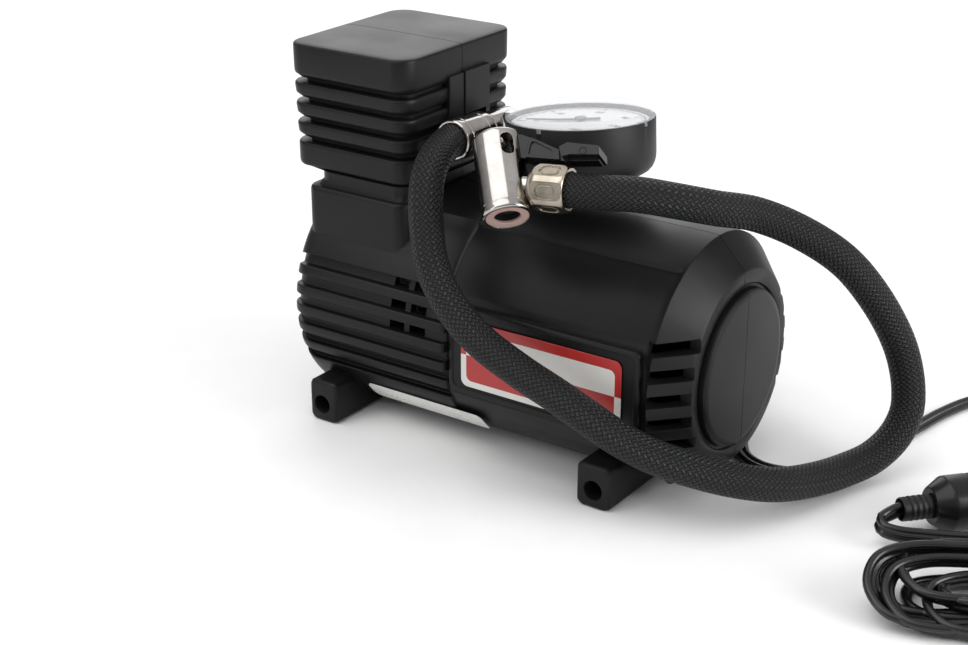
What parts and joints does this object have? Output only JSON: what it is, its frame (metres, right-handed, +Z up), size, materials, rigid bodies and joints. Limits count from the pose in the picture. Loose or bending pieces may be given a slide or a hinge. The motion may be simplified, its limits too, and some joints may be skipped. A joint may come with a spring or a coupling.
{
  "type": "mini_air_compressor",
  "caption": "Compact black 12 V piston air compressor: barrel motor housing, finned cylinder tower, round dial gauge, braided hose with lever chuck and a flat cord with accessory plug",
  "frame": {"origin": "centre of the housing's footprint, on the plane the feet stand on", "axes": "+X along the barrel to the round end cap, -Y the label side, +Z up"},
  "size_m": [0.4116, 0.2284, 0.164],
  "materials": {
    "shell": "fine-grained black moulded ABS",
    "label": "printed sticker, text left out",
    "blank": "plain white sticker",
    "screw": "zinc-plated steel",
    "alloy": "die-cast",
    "steel": "plain steel",
    "chrome": "bright nickel plate",
    "brass": "turned brass",
    "copper": "copper wire and segments",
    "magnet": "ferrite",
    "carbon": "carbon brush",
    "gearplastic": "moulded acetal",
    "rubber": "soft black rubber",
    "gasket": "soft pinkish seal rubber",
    "blackplastic": "smooth black plastic",
    "dial": "printed dial card",
    "needle": "black pointer",
    "clear": "clear acrylic lens",
    "braid": "black textile braid over rubber",
    "cord": "flat twin PVC flex",
    "fuseglass": "glass fuse"
  },
  "bodies": {
    "housing": {"front_shell": "shell", "rear_shell": "shell", "foot_screw_left": "screw", "foot_screw_right": "screw", "case_screw_tower": "screw", "case_screw_barrel": "screw", "front_label": "label", "lower_label": "blank", "crank_frame": "alloy", "cylinder": "alloy", "valve_plate": "steel", "reed_valve": "steel", "cylinder_head": "alloy", "head_screw_front": "screw", "head_screw_rear": "screw", "crank_bearing": "steel", "motor_can": "steel", "motor_end_bell": "blackplastic", "magnet_front": "magnet", "magnet_rear": "magnet", "brush_front": "carbon", "brush_rear": "carbon", "motor_screw_front": "screw", "motor_screw_rear": "screw", "gauge_case": "blackplastic", "gauge_lens": "clear", "gauge_dial": "dial", "bourdon_tube": "brass", "outlet_tee": "chrome", "hose_root_ferrule": "chrome", "chuck_body": "chrome", "chuck_gasket": "gasket", "lever_pin": "steel", "chuck_ferrule": "chrome", "hose": "braid", "cord_grommet": "rubber", "cord_run": "cord", "cord_hank": "cord", "plug_strain_relief": "rubber", "plug_body": "blackplastic", "plug_tip_ring": "blackplastic", "plug_fuse": "fuseglass", "cord_lead": "cord"},
    "motor_rotor": {"armature": "copper", "commutator": "copper", "motor_shaft": "steel", "pinion": "brass"},
    "crank": {"crank_gear": "gearplastic", "crank_shaft": "steel", "crank_pin": "steel"},
    "piston": {"piston_rod": "alloy", "big_end_bush": "brass", "piston_seal": "rubber"},
    "needle": {"gauge_needle": "needle"},
    "lever": {"chuck_lever": "blackplastic"},
    "plunger": {"chuck_plunger": "brass"},
    "tip_pin": {"plug_pin": "steel"},
    "contact_left": {"side_contact_left": "steel"},
    "contact_right": {"side_contact_right": "steel"}
  },
  "joints": [
    {"name": "motor_spin", "type": "hinge", "parent": "housing", "child": "motor_rotor", "pos_m": [0, 0, 0.033], "axis": [1, 0, 0], "continuous": true},
    {"name": "crank_spin", "type": "hinge", "parent": "housing", "child": "crank", "pos_m": [-0.05, 0, 0.06], "axis": [1, 0, 0], "continuous": true},
    {"name": "piston_stroke", "type": "slide", "parent": "housing", "child": "piston", "axis": [0, 0, 1], "range_m": [-0.016, 0]},
    {"name": "needle_swing", "type": "hinge", "parent": "housing", "child": "needle", "pos_m": [0.015, 0.01, 0.1415], "axis": [0.0833, -0.0555, -0.995], "range_deg": [0, 270], "stiffness_Nm_per_rad": 0.00002},
    {"name": "lever_swing", "type": "hinge", "parent": "housing", "child": "lever", "pos_m": [0.00966, -0.03644, 0.13534], "axis": [0.0873, -0.7635, 0.6399], "range_deg": [0, 108]},
    {"name": "plunger_stroke", "type": "slide", "parent": "housing", "child": "plunger", "axis": [-0.5083, 0.5183, 0.6877], "range_m": [0, 0.0015], "stiffness_N_per_m": 300},
    {"name": "tip_pin_press", "type": "slide", "parent": "housing", "child": "tip_pin", "axis": [-0.6606, -0.7507, 0], "range_m": [0, 0.003], "stiffness_N_per_m": 800},
    {"name": "contact_left_press", "type": "slide", "parent": "housing", "child": "contact_left", "axis": [0.7507, -0.6606, 0], "range_m": [0, 0.0015], "stiffness_N_per_m": 400},
    {"name": "contact_right_press", "type": "slide", "parent": "housing", "child": "contact_right", "axis": [-0.7507, 0.6606, 0], "range_m": [0, 0.0015], "stiffness_N_per_m": 400}
  ],
  "couplings": [
    {"joint": "crank_spin", "follows": "motor_spin", "ratio": -0.2}
  ]
}
